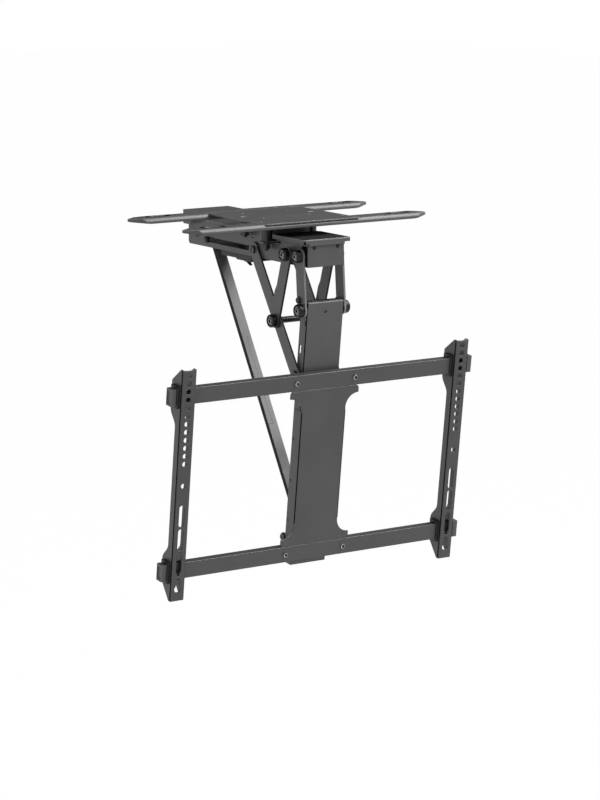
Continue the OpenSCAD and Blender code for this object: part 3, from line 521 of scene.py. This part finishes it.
def make_rail_slots():
    """A pressed rim about each slot in the ceiling rails, near black as painted shade of the slot's hollow.
    """
    for row, y in (("front", -SLOT_Y), ("rear", SLOT_Y)):
        for side, word in SIDES:
            bm = bmesh.new()
            rings = []
            for half, r, z in SLOT_RINGS:
                ring = []
                for k in range(SLOT_POINTS):
                    a = 2.0 * math.pi * (k + 0.5) / SLOT_POINTS
                    dx = math.copysign(half, math.cos(a)) + r * math.cos(a)
                    ring.append(bm.verts.new(point(side * SLOT_X + dx, y + r * math.sin(a), z)))
                rings.append(ring)
            join_rings(bm, rings)
            name = "slot_rim_%s_%s" % (row, word)
            # The rims are near black: painted shade of the slot's hollow.
            add_piece(name, close_mesh(bm, name), "recess", "base", smooth=False)


def make_spacer_pads():
    """The pad about the spacer under the plate, and its lower front edge, black as painted shade under the
    plate.
    """
    for name, y, z, width, thick in (("spacer_pad", 0.0, -16.5, 92.0, 17.0),
                                     ("spacer_skirt", -37.5, -29.5, 16.0, 13.0)):
        bar_between(name, point(-SPACER_HALF, y, z), point(SPACER_HALF, y, z), ALONG, width, thick,
                    "black_plastic", "base", bevel=1.5)


def make_edge_lines():
    """Painted shade: dark strips at the housing's and spine's front corners, the brackets' folds, the cover's
    notch and about the spine's small hole. Painted highlight: pale strips on the cover's and spine's upper
    folded edges.
    """
    for side, word in SIDES:
        x = side * (HOUSE_HALF + 0.1)
        # A near-black strip on the housing's side by its front end: painted shadow of the cap and links
        # beside it.
        bar_between("housing_shadow_strip_" + word, point(x, SHADOW_STRIP_Y, SHADOW_STRIP_TOP), point(x, SHADOW_STRIP_Y, SHADOW_STRIP_LOW), ALONG,
                    16.8, 0.5, "recess", "base")
        # Near-black strips along the spine's front corners: painted shade of the crease.
        corner = side * (SPINE_HALF + PROUD)
        bar_between("spine_corner_" + word, on_frame(corner, SPINE_BACK + 1.5, SPINE_TOP - 0.3),
                    on_frame(corner, SPINE_BACK + 1.5, 108.0), ALONG, 3.0, 0.5, "recess", "tv_frame")
        # Near-black strips on both folds of each bracket: painted shade along the folds.
        for edge, tag in ((-1, "near"), (1, "far")):
            fold = side * HOOK_X + edge * (HOOK_HALF + PROUD)
            bar_between("hook_fold_%s_%s" % (word, tag), on_frame(fold, 2.0, 1.5),
                        on_frame(fold, 2.0, HOOK_L - 1.5), ALONG, 2.8, 0.4, "recess", "bracket_" + word)
    # Near-black strip in the cover's notch: painted shade of the gap.
    bar_between("cover_notch", point(NOTCH_X, COVER_FRONT, NOTCH_TOP), point(NOTCH_X, COVER_FRONT, NOTCH_LOW),
                ACROSS, 4.4, 0.4, "recess", "base")
    # Pale strips along the upper front edges of the cover and the spine: painted highlight.
    bar_between("cover_edge", point(-COVER_HALF + 5.4, COVER_FRONT, COVER_EDGE_Z),
                point(COVER_HALF - 0.6, COVER_FRONT, COVER_EDGE_Z), UP, 1.7, 0.5, "painted_highlight_edge", "base")
    bar_between("spine_edge", on_frame(-SPINE_HALF + 1.6, SPINE_BACK, SPINE_TOP),
                on_frame(SPINE_HALF - 0.6, SPINE_BACK, SPINE_TOP), UP, 1.8, 0.5, "painted_highlight_edge", "tv_frame")
    web_x, web_back, web_down = SPINE_HALF - 2.3, SPINE_BACK + 12.0, SPINE_TOP - 0.1
    bar_between("spine_web", on_frame(-web_x, web_back, web_down), on_frame(web_x, web_back, web_down), ALONG,
                19.0, 1.4, "black_fastener", "tv_frame", bevel=0.4)
    # Near-black ring about the spine's small hole: painted shade of the hole.
    rim = [(3.1, -0.3), (3.1, 0.15), (2.2, 0.15), (1.9, -0.2)]
    lathe("peep_rim", rim, on_frame(0, SPINE_BACK, PEEP_DOWN), frame_front(), "recess", "tv_frame", turns=24)


def make_rear_cover():
    """The low folded cover on the rear end of the housing, open to the front, with a flange on each side."""
    side, front, rear = COVER_HALF, 201.0, HOUSE_REAR + 0.8
    low, top, lip, sheet = HOUSE_TOP, -13.0, -40.0, 2.0
    bm = bmesh.new()

    def panel(*corners):
        bm.faces.new([bm.verts.new(point(*corner)) for corner in corners])

    panel((-side, front, top), (side, front, top), (side, rear, top), (-side, rear, top))
    panel((-side, front, low), (-side, rear, low), (side, rear, low), (side, front, low))
    panel((-side, rear, low), (-side, rear, top), (side, rear, top), (side, rear, low))
    for x in (-side, side):
        panel((x, front, low), (x, front, top), (x, rear, top), (x, rear, low))
    bmesh.ops.remove_doubles(bm, verts=bm.verts, dist=1e-6)
    mesh = close_mesh(bm, "rear_cover_sheet")
    cover = add_piece("rear_cover_sheet", mesh, "powder_steel", "base", smooth=False)
    skin = cover.modifiers.new("thickness", "SOLIDIFY")
    skin.thickness = sheet * MM
    skin.offset = -1.0
    height, middle = (low + lip) / 2, (front + rear) / 2
    for way, word in SIDES:
        x = way * (side - sheet / 2)
        bar_between("rear_cover_flange_" + word, point(x, middle, height), point(x, rear, height), UP,
                    low - lip + 0.4, sheet, "powder_steel", "base", bevel=0.3)


def make_pieces():
    make_edge_lines()
    make_rear_cover()
    make_rail_slots()
    make_spacer_pads()
    make_caps()
    make_small_heads()
    make_bar_screws()
    make_middle_lines()
    make_brace_fillers()
    make_link_bolts()
    make_tray_hook()


def make_stage():
    """A wide floor, white to the camera and in reflections, that keeps a faint shadow."""
    bpy.ops.mesh.primitive_plane_add(size=FLOOR_SIZE, location=(0.0, 6.0, FLOOR_Z))
    floor = bpy.context.object
    floor.name = "floor"
    n = Nodes("floor_white")
    n.shader.inputs["Base Color"].default_value = (0.9, 0.9, 0.9, 1.0)
    n.shader.inputs["Roughness"].default_value = 0.9
    glow = n.add("ShaderNodeEmission")
    glow.inputs["Strength"].default_value = 1.0
    path = n.add("ShaderNodeLightPath")
    seen = n.larger(path.outputs["Is Camera Ray"], path.outputs["Is Glossy Ray"])
    seen = n.larger(seen, path.outputs["Is Transmission Ray"])
    share = n.add("ShaderNodeMath", operation="MULTIPLY")
    n.join(seen, share.inputs[0])
    share.inputs[1].default_value = 0.985
    blend = n.add("ShaderNodeMixShader")
    n.join(share.outputs[0], blend.inputs[0])
    n.join(n.shader.outputs[0], blend.inputs[1])
    n.join(glow.outputs[0], blend.inputs[2])
    n.join(blend.outputs[0], n.tree.nodes["Material Output"].inputs["Surface"])
    floor.data.materials.append(n.material)


def make_world():
    """White to the camera; as light, brighter from in front of the object and dim behind it."""
    world = bpy.data.worlds.new("world")
    world.use_nodes = True
    bpy.context.scene.world = world
    tree = world.node_tree
    link = tree.links.new
    light = tree.nodes["Background"]
    place = tree.nodes.new("ShaderNodeTexCoord")
    split = tree.nodes.new("ShaderNodeSeparateXYZ")
    link(place.outputs["Generated"], split.inputs[0])
    behind = tree.nodes.new("ShaderNodeMapRange")
    behind.inputs["From Min"].default_value = -0.1
    behind.inputs["From Max"].default_value = 0.75
    behind.inputs["To Min"].default_value = WORLD_FRONT
    behind.inputs["To Max"].default_value = WORLD_BACK
    link(split.outputs["Y"], behind.inputs["Value"])
    link(behind.outputs["Result"], light.inputs["Strength"])
    light.inputs["Color"].default_value = (1.0, 1.0, 1.0, 1.0)
    white = tree.nodes.new("ShaderNodeBackground")
    white.inputs["Color"].default_value = (1.0, 1.0, 1.0, 1.0)
    path = tree.nodes.new("ShaderNodeLightPath")
    blend = tree.nodes.new("ShaderNodeMixShader")
    link(path.outputs["Is Camera Ray"], blend.inputs[0])
    link(light.outputs[0], blend.inputs[1])
    link(white.outputs[0], blend.inputs[2])
    link(blend.outputs[0], tree.nodes["World Output"].inputs["Surface"])


def make_lamp(name, place, size, power, long_way=(1.0, 0.0, 0.0)):
    """A soft box that faces the object, its first size along long_way."""
    data = bpy.data.lights.new(name, "AREA")
    data.shape = "RECTANGLE"
    data.size, data.size_y = size
    data.energy = power
    lamp = bpy.data.objects.new(name, data)
    away = (Vector(place) - VIEW_TARGET).normalized()
    first = Vector(long_way)
    first = (first - away * first.dot(away)).normalized()
    turn = Matrix((first, away.cross(first), away)).transposed()
    lamp.matrix_world = Matrix.Translation(Vector(place)) @ turn.to_4x4()
    bpy.context.collection.objects.link(lamp)


make_camera()
make_world()
make_stage()
make_lamp("strip", (1.62, -0.95, 2.06), (2.6, 1.4), 105.0, long_way=(0.0, 1.0, 0.0))
make_lamp("left", (-2.9, -0.6, 0.6), (1.6, 1.6), 16.0)
MATERIALS = make_materials()
dress_cad(MATERIALS)
make_pieces()

bpy.context.scene.view_settings.view_transform = "Standard"
